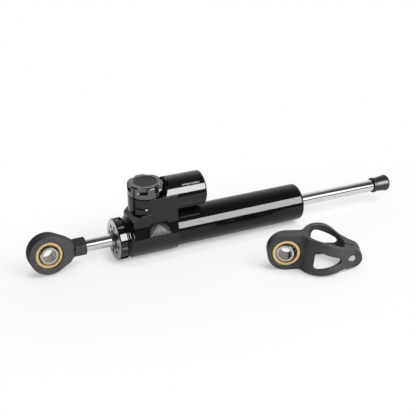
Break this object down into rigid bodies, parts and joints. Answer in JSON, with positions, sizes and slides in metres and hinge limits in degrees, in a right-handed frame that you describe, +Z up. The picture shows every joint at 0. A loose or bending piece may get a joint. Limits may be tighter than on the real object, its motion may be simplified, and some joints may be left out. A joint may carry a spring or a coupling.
{
  "type": "motorcycle steering damper",
  "caption": "Through-rod steering damper with a milled valve block, knob-set needle valve, piggyback gas reservoir, spherical rod end, rubber rod cap and a loose split tube clamp.",
  "frame": {"origin": "centre of the ball in the rod end, which is the centre of its bolt hole", "axes": "+X along the rod from the rod end to the rubber cap, +Z up to the adjuster knob, -Y to the side where the loose clamp lies"},
  "size_m": [0.3218, 0.1139, 0.0619],
  "materials": {
    "black_anodised": "gloss black hard anodising over turned and milled aluminium",
    "grey_anodised": "satin dark grey anodising, bead blasted",
    "bare_aluminium": "satin machined aluminium",
    "chromed_rod": "ground and hard chromed steel",
    "steel": "ground or turned steel",
    "gold_race": "yellow passivated race",
    "bronze": "sintered bronze",
    "rubber": "moulded black rubber",
    "seal_rubber": "moulded nitrile lip seal",
    "ptfe": "filled PTFE"
  },
  "bodies": {
    "damper_body": {"valve_body": "black_anodised", "damper_tube": "black_anodised", "inner_sleeve": "bare_aluminium", "front_gland": "black_anodised", "front_bush": "bronze", "front_rod_seal": "seal_rubber", "front_wiper": "rubber", "gland_o_ring": "rubber", "tube_o_ring": "rubber", "rear_gland": "bare_aluminium", "rear_bush": "bronze", "rear_rod_seal": "seal_rubber", "rear_wiper": "rubber", "rear_gland_o_ring": "rubber", "rear_circlip": "steel", "reservoir_cap": "black_anodised", "reservoir_cap_o_ring": "rubber", "reservoir_circlip": "steel", "charge_screw": "steel", "adjuster_housing": "steel", "housing_o_ring": "rubber", "needle_guide_pin": "steel", "index_pin": "steel", "clamp_body": "grey_anodised", "clamp_race": "gold_race", "clamp_screw": "steel"},
    "rod_guide": {"piston_ring": "ptfe"},
    "rod_assembly": {"rod": "chromed_rod", "piston": "bare_aluminium", "piston_clips": "steel", "lock_nut": "grey_anodised", "rod_eye": "grey_anodised", "rod_race": "gold_race", "rubber_cap": "rubber"},
    "rod_liner": {"rod_liner": "ptfe"},
    "rod_ball": {"rod_ball": "steel"},
    "adjuster": {"knob": "grey_anodised", "adjuster_spindle": "steel", "spindle_o_ring": "rubber", "knob_grub_screw": "steel"},
    "needle": {"needle": "steel"},
    "floating_piston": {"floating_piston": "bare_aluminium", "floating_piston_o_ring": "rubber"},
    "clamp_liner": {"clamp_liner": "ptfe"},
    "clamp_ball": {"clamp_ball": "steel"}
  },
  "joints": [
    {"name": "rod_slide", "type": "slide", "parent": "damper_body", "child": "rod_guide", "axis": [1, 0, 0], "range_m": [-0.067, 0.022]},
    {"name": "rod_turn", "type": "hinge", "parent": "rod_guide", "child": "rod_assembly", "pos_m": [0, 0, 0], "axis": [1, 0, 0], "continuous": true},
    {"name": "rod_ball_turn", "type": "hinge", "parent": "rod_assembly", "child": "rod_liner", "pos_m": [0, 0, 0], "axis": [0, 0.9949, -0.1011], "continuous": true},
    {"name": "rod_ball_tilt", "type": "hinge", "parent": "rod_liner", "child": "rod_ball", "pos_m": [0, 0, 0], "axis": [0, 0.1011, 0.9949], "range_deg": [-12, 12]},
    {"name": "knob_turn", "type": "hinge", "parent": "damper_body", "child": "adjuster", "pos_m": [0.081, 0, 0.035], "axis": [0, 0, 1], "range_deg": [-150, 150]},
    {"name": "needle_slide", "type": "slide", "parent": "damper_body", "child": "needle", "axis": [0, 0, 1], "range_m": [-0.00042, 0.00042]},
    {"name": "floating_piston_slide", "type": "slide", "parent": "damper_body", "child": "floating_piston", "axis": [1, 0, 0], "range_m": [-0.0035, 0.0035]},
    {"name": "clamp_ball_turn", "type": "hinge", "parent": "damper_body", "child": "clamp_liner", "pos_m": [0.17, -0.0674, -0.0019], "axis": [0.3746, 0.9272, 0], "continuous": true},
    {"name": "clamp_ball_tilt", "type": "hinge", "parent": "clamp_liner", "child": "clamp_ball", "pos_m": [0.17, -0.0674, -0.0019], "axis": [0.084, -0.034, 0.9959], "range_deg": [-1, 23]}
  ],
  "couplings": [
    {"joint": "needle_slide", "follows": "knob_turn", "m_per_rad": 0.00015915}
  ]
}
